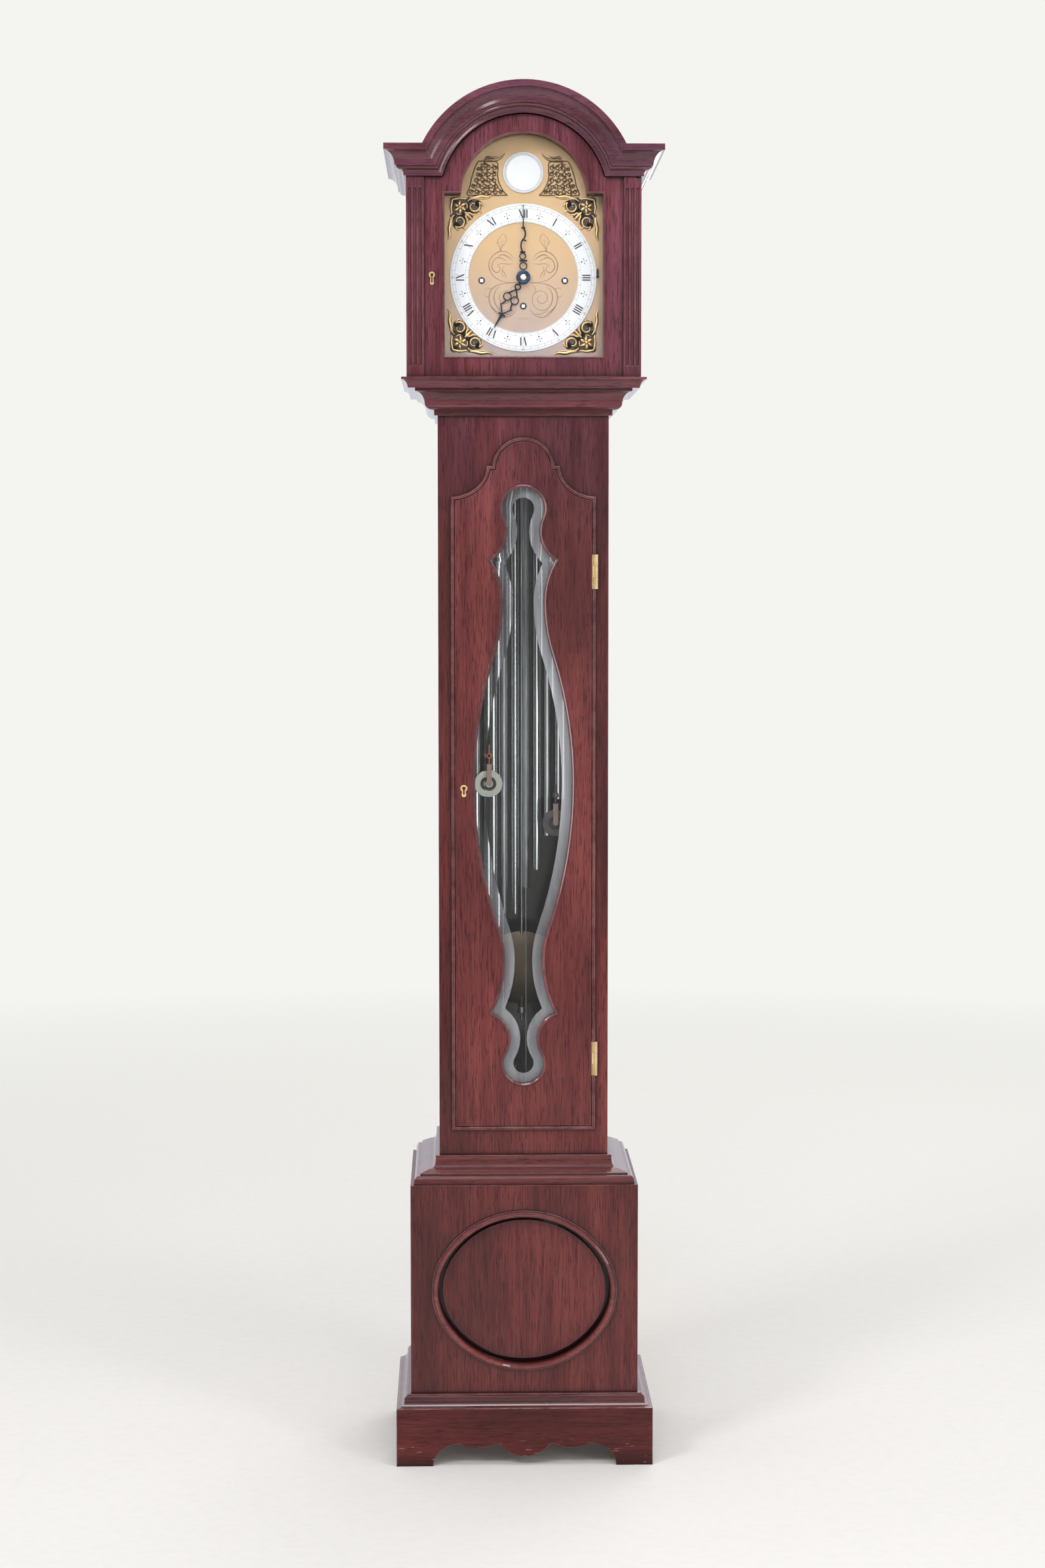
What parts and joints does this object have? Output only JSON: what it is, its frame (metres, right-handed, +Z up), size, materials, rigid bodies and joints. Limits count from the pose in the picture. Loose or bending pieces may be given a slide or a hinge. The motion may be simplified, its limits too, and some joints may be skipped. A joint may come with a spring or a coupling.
{
  "type": "dwarf tall case clock",
  "caption": "Dwarf tall case clock: arched hood, glazed violin window in the trunk door, brass dial; the hood, doors, hands, barrels, pulleys and pendulum move.",
  "frame": {"origin": "centre of the bounding box at the floor", "axes": "+Z up, -Y towards the viewer of the dial, +X to the right of that viewer"},
  "size_m": [0.3584, 0.257, 1.8],
  "materials": {
    "mahogany": "dark red-brown mahogany, French polished",
    "carcase_wood": "plain planed carcase wood, thinly stained",
    "dial_brass": "pale lacquered brass, matted field",
    "silvered_ring": "silvered and grained in circles",
    "movement_brass": "polished and lacquered",
    "case_brass": "worn polished brass",
    "steel": "satin steel",
    "blued_steel": "blued to near black",
    "chrome_tube": "bright plated tube",
    "cable": "stranded wire",
    "clear_glass": "clear polished sheet glass"
  },
  "bodies": {
    "case": {"backboard": "carcase_wood", "trunk_cheeks": "mahogany", "trunk_front_frame": "mahogany", "waist_moulding": "mahogany", "base_front_board": "mahogany", "base_oval_moulding": "mahogany", "base_oval_panel": "mahogany", "base_sides": "mahogany", "base_cap_moulding": "mahogany", "base_floor": "carcase_wood", "plinth_moulding": "mahogany", "foot_skirt": "mahogany", "seatboard": "carcase_wood", "trunk_hinge_case_leaves": "case_brass", "movement_frame": "movement_brass", "dial_plate": "dial_brass", "chapter_ring": "silvered_ring", "dial_spandrels": "dial_brass", "arch_boss": "dial_brass", "chime_rack": "steel", "chime_tubes": "chrome_tube", "drive_weights": "movement_brass", "cable_tops": "cable", "cable_left": "cable", "cable_centre": "cable", "cable_right": "cable"},
    "trunk_door": {"trunk_door": "mahogany", "trunk_glass_bead": "mahogany", "trunk_door_glass": "clear_glass", "trunk_escutcheon": "case_brass", "trunk_lock": "steel", "trunk_hinge_door_leaves": "case_brass"},
    "lock_bolt": {"trunk_lock_bolt": "steel"},
    "hood": {"hood_sides": "mahogany", "hood_base_frame": "mahogany", "hood_frieze": "mahogany", "hood_cornice": "mahogany", "hood_roof": "carcase_wood", "hood_dial_mask": "mahogany", "hood_pivot_plates": "case_brass"},
    "hood_door": {"hood_door": "mahogany", "hood_pilasters": "mahogany", "hood_door_glass": "clear_glass", "hood_escutcheon": "case_brass", "hood_door_pivots": "case_brass"},
    "minute_hand": {"minute_hand": "blued_steel", "centre_wheel": "movement_brass"},
    "hour_hand": {"hour_hand": "blued_steel"},
    "strike_lever": {"strike_lever": "blued_steel"},
    "barrel_left": {"barrel_left": "movement_brass"},
    "barrel_centre": {"barrel_centre": "movement_brass"},
    "barrel_right": {"barrel_right": "movement_brass"},
    "pulley_left": {"pulley_left": "steel"},
    "pulley_centre": {"pulley_centre": "steel"},
    "pulley_right": {"pulley_right": "steel"},
    "pendulum": {"pendulum_rod": "steel", "pendulum_bob": "movement_brass"},
    "escape_wheel": {"escape_wheel": "movement_brass"},
    "pallets": {"pallets": "steel"},
    "chime_hammers": {"chime_hammers": "steel"}
  },
  "joints": [
    {"name": "trunk_door_hinge", "type": "hinge", "parent": "case", "child": "trunk_door", "pos_m": [0.0955, -0.0645, 0.855], "axis": [0, 0, 1], "range_deg": [0, 105]},
    {"name": "lock_bolt_slide", "type": "slide", "parent": "trunk_door", "child": "lock_bolt", "axis": [-1, 0, 0], "range_m": [0, 0.005]},
    {"name": "hood_slide", "type": "slide", "parent": "case", "child": "hood", "axis": [0, -1, 0], "range_m": [0, 0.2]},
    {"name": "hood_door_hinge", "type": "hinge", "parent": "hood", "child": "hood_door", "pos_m": [0.1482, -0.0975, 1.555], "axis": [0, 0, 1], "range_deg": [0, 100]},
    {"name": "minute_hand_turn", "type": "hinge", "parent": "case", "child": "minute_hand", "pos_m": [0, -0.0702, 1.5575], "axis": [0, 1, 0], "continuous": true},
    {"name": "hour_hand_turn", "type": "hinge", "parent": "case", "child": "hour_hand", "pos_m": [0, -0.0683, 1.5575], "axis": [0, 1, 0], "continuous": true},
    {"name": "strike_lever_turn", "type": "hinge", "parent": "case", "child": "strike_lever", "pos_m": [0.0965, -0.0673, 1.559], "axis": [0, 1, 0], "range_deg": [0, 60]},
    {"name": "barrel_left_wind", "type": "hinge", "parent": "case", "child": "barrel_left", "pos_m": [-0.054, -0.0215, 1.5537], "axis": [0, -1, 0], "range_deg": [0, 1600]},
    {"name": "barrel_centre_wind", "type": "hinge", "parent": "case", "child": "barrel_centre", "pos_m": [0, -0.0215, 1.521], "axis": [0, 1, 0], "range_deg": [0, 1600]},
    {"name": "barrel_right_wind", "type": "hinge", "parent": "case", "child": "barrel_right", "pos_m": [0.054, -0.0215, 1.5537], "axis": [0, 1, 0], "range_deg": [0, 1600]},
    {"name": "pulley_left_lift", "type": "slide", "parent": "case", "child": "pulley_left", "axis": [0, 0, 1], "range_m": [0, 0.33], "deforming": ["cable_left"]},
    {"name": "pulley_centre_lift", "type": "slide", "parent": "case", "child": "pulley_centre", "axis": [0, 0, 1], "range_m": [0, 0.33], "deforming": ["cable_centre"]},
    {"name": "pulley_right_lift", "type": "slide", "parent": "case", "child": "pulley_right", "axis": [0, 0, 1], "range_m": [0, 0.33], "deforming": ["cable_right"]},
    {"name": "pendulum_swing", "type": "hinge", "parent": "case", "child": "pendulum", "pos_m": [0, 0.0465, 1.6335], "axis": [0, 1, 0], "range_deg": [-2.5, 2.5]},
    {"name": "pallets_rock", "type": "hinge", "parent": "case", "child": "pallets", "pos_m": [0, -0.0115, 1.6335], "axis": [0, 1, 0], "range_deg": [-2.5, 2.5]},
    {"name": "escape_wheel_turn", "type": "hinge", "parent": "case", "child": "escape_wheel", "pos_m": [0, -0.0115, 1.5995], "axis": [0, 1, 0], "continuous": true},
    {"name": "chime_hammers_lift", "type": "hinge", "parent": "case", "child": "chime_hammers", "pos_m": [0, 0.0625, 1.4395], "axis": [-1, 0, 0], "range_deg": [0, 6]}
  ],
  "couplings": [
    {"joint": "hour_hand_turn", "follows": "minute_hand_turn", "ratio": 0.083333},
    {"joint": "pallets_rock", "follows": "pendulum_swing", "ratio": 1},
    {"joint": "pulley_left_lift", "follows": "barrel_left_wind", "m_per_rad": 0.01175},
    {"joint": "pulley_centre_lift", "follows": "barrel_centre_wind", "m_per_rad": 0.01175},
    {"joint": "pulley_right_lift", "follows": "barrel_right_wind", "m_per_rad": 0.01175}
  ]
}
